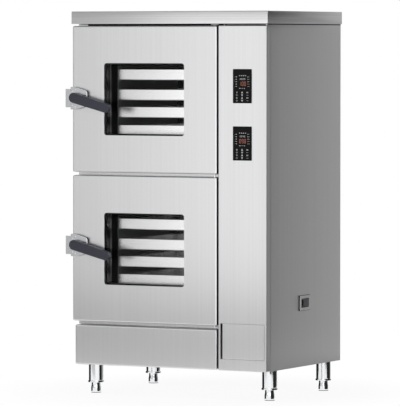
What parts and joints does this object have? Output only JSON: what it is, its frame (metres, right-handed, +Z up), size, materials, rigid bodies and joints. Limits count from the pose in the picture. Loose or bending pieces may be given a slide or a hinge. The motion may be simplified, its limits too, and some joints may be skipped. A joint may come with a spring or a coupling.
{
  "type": "steam cabinet",
  "caption": "Free-standing steam cabinet with stacked windowed doors, lever latches, trays on racks, a control column with an access flap, and adjustable legs",
  "frame": {"origin": "on the floor under the middle of the overall box, latches and back fittings included", "axes": "+X to the cabinet's right as seen from the front, +Y to its back, +Z up"},
  "size_m": [0.931, 0.7788, 1.592],
  "materials": {
    "brushed_steel": "brushed",
    "side_steel": "satin",
    "tray_steel": "bright",
    "dark_steel": "dark satin",
    "chrome": "polished",
    "brass": "machined",
    "controller_black": "gloss",
    "black_plastic": "matte",
    "lever_plastic": "satin",
    "black_rubber": "matte",
    "glass": "clear"
  },
  "bodies": {
    "cabinet": {"top_cover": "brushed_steel", "left_side_panel": "side_steel", "right_side_panel": "side_steel", "back_panel": "side_steel", "base_pan": "side_steel", "front_frame": "brushed_steel", "column_fascia": "brushed_steel", "column_divider": "side_steel", "kick_panel": "brushed_steel", "top_hinge_bracket": "brushed_steel", "middle_hinge_bracket": "brushed_steel", "bottom_hinge_bracket": "brushed_steel", "upper_controller": "controller_black", "lower_controller": "controller_black", "side_port": "brushed_steel", "cable_gland": "black_plastic", "steam_boiler": "tray_steel", "steam_manifold": "tray_steel", "drain_valve": "brass", "water_inlet": "brass", "exhaust_duct": "tray_steel", "upper_chamber": "dark_steel", "upper_tray_rack": "dark_steel", "upper_keeper": "chrome", "upper_tray_1": "tray_steel", "upper_tray_2": "tray_steel", "upper_tray_3": "tray_steel", "upper_tray_4": "tray_steel", "lower_chamber": "dark_steel", "lower_tray_rack": "dark_steel", "lower_keeper": "chrome", "lower_tray_1": "tray_steel", "lower_tray_2": "tray_steel", "lower_tray_3": "tray_steel", "lower_tray_4": "tray_steel", "leg_front_left": "chrome", "leg_front_right": "chrome", "leg_back_left": "chrome", "leg_back_right": "chrome"},
    "upper_door": {"upper_door_skin": "brushed_steel", "upper_door_liner": "brushed_steel", "upper_window_surround": "black_plastic", "upper_window_glass": "glass", "upper_door_gasket": "black_rubber", "upper_latch_base": "chrome"},
    "upper_latch": {"upper_latch_lever": "lever_plastic"},
    "lower_door": {"lower_door_skin": "brushed_steel", "lower_door_liner": "brushed_steel", "lower_window_surround": "black_plastic", "lower_window_glass": "glass", "lower_door_gasket": "black_rubber", "lower_latch_base": "chrome"},
    "lower_latch": {"lower_latch_lever": "lever_plastic"},
    "access_flap": {"access_flap": "brushed_steel"},
    "drain_lever": {"drain_valve_lever": "brass"},
    "foot_front_left": {"foot_front_left": "chrome"},
    "foot_front_right": {"foot_front_right": "chrome"},
    "foot_back_left": {"foot_back_left": "chrome"},
    "foot_back_right": {"foot_back_right": "chrome"}
  },
  "joints": [
    {"name": "upper_door_hinge", "type": "hinge", "parent": "cabinet", "child": "upper_door", "pos_m": [0.2165, -0.3326, 0.926], "axis": [0, 0, 1], "range_deg": [0, 110]},
    {"name": "upper_latch_turn", "type": "hinge", "parent": "upper_door", "child": "upper_latch", "pos_m": [-0.4075, -0.3456, 1.2325], "axis": [0, -1, 0], "range_deg": [0, 90]},
    {"name": "lower_door_hinge", "type": "hinge", "parent": "cabinet", "child": "lower_door", "pos_m": [0.2165, -0.3326, 0.307], "axis": [0, 0, 1], "range_deg": [0, 110]},
    {"name": "lower_latch_turn", "type": "hinge", "parent": "lower_door", "child": "lower_latch", "pos_m": [-0.4075, -0.3456, 0.6225], "axis": [0, -1, 0], "range_deg": [0, 90]},
    {"name": "access_flap_hinge", "type": "hinge", "parent": "cabinet", "child": "access_flap", "pos_m": [0.4399, -0.3426, 0.172], "axis": [0, 0, 1], "range_deg": [0, 100]},
    {"name": "drain_valve_turn", "type": "hinge", "parent": "cabinet", "child": "drain_lever", "pos_m": [0.3495, -0.2626, 0.24], "axis": [0, -1, 0], "range_deg": [0, 90]},
    {"name": "foot_front_left_screw", "type": "hinge", "parent": "cabinet", "child": "foot_front_left", "pos_m": [-0.3955, -0.2256, 0], "axis": [0, 0, 1], "continuous": true},
    {"name": "foot_front_right_screw", "type": "hinge", "parent": "cabinet", "child": "foot_front_right", "pos_m": [0.4145, -0.2256, 0], "axis": [0, 0, 1], "continuous": true},
    {"name": "foot_back_left_screw", "type": "hinge", "parent": "cabinet", "child": "foot_back_left", "pos_m": [-0.3955, 0.2854, 0], "axis": [0, 0, 1], "continuous": true},
    {"name": "foot_back_right_screw", "type": "hinge", "parent": "cabinet", "child": "foot_back_right", "pos_m": [0.4145, 0.2854, 0], "axis": [0, 0, 1], "continuous": true}
  ]
}
